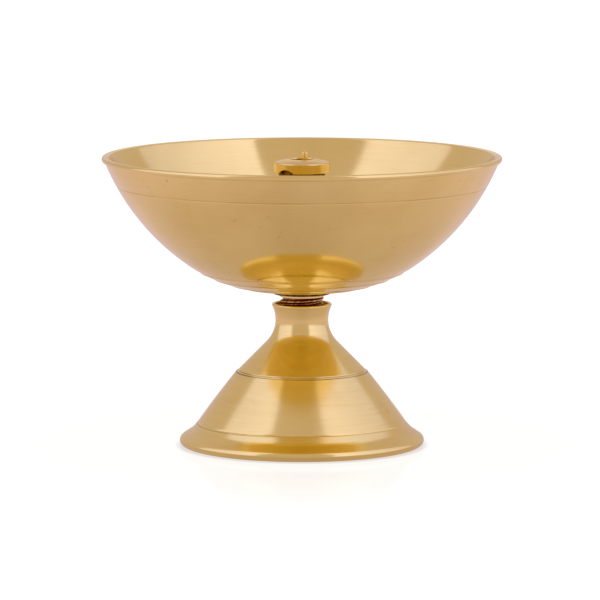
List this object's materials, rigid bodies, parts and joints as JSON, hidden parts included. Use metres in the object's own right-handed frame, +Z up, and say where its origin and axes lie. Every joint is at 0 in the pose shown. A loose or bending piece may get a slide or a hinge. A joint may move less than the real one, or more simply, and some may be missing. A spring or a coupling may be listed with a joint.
{
  "type": "footed oil lamp",
  "caption": "Footed brass oil lamp: wide shallow bowl with a lift-off wick cap, screwed on a hollow trumpet stand.",
  "frame": {"origin": "centre of the foot's underside, on the surface that the lamp stands on", "axes": "+Z up along the turning axis, -Y towards the front, where the wick cap's notch shows left of the middle"},
  "size_m": [0.11, 0.11, 0.0813],
  "materials": {
    "bowl_brass": "polished, fine turning lines",
    "stand_brass": "polished, visible turning lines",
    "ring_brass": "bright turned",
    "tarnished_brass": "dull, tarnished",
    "wick_brass": "satin, slightly darkened",
    "seal_rubber": "matte"
  },
  "bodies": {
    "stand": {"stand": "stand_brass"},
    "spacer_ring": {"spacer_ring": "ring_brass"},
    "bowl": {"bowl": "bowl_brass", "threaded_stud": "tarnished_brass", "seal_washer": "seal_rubber", "wick_pillar": "wick_brass", "wick_pin": "wick_brass"},
    "wick_cap": {"wick_cap": "wick_brass"}
  },
  "joints": [
    {"name": "ring_rise", "type": "slide", "parent": "stand", "child": "spacer_ring", "axis": [0, 0, 1], "range_m": [0, 0.0061]},
    {"name": "bowl_unscrew", "type": "hinge", "parent": "spacer_ring", "child": "bowl", "pos_m": [0, 0, 0.0411], "axis": [0, 0, 1], "range_deg": [0, 1440]},
    {"name": "cap_lift", "type": "slide", "parent": "bowl", "child": "wick_cap", "axis": [0, 0, 1], "range_m": [0, 0.02]}
  ],
  "couplings": [
    {"joint": "ring_rise", "follows": "bowl_unscrew", "m_per_rad": 0.00023873}
  ]
}
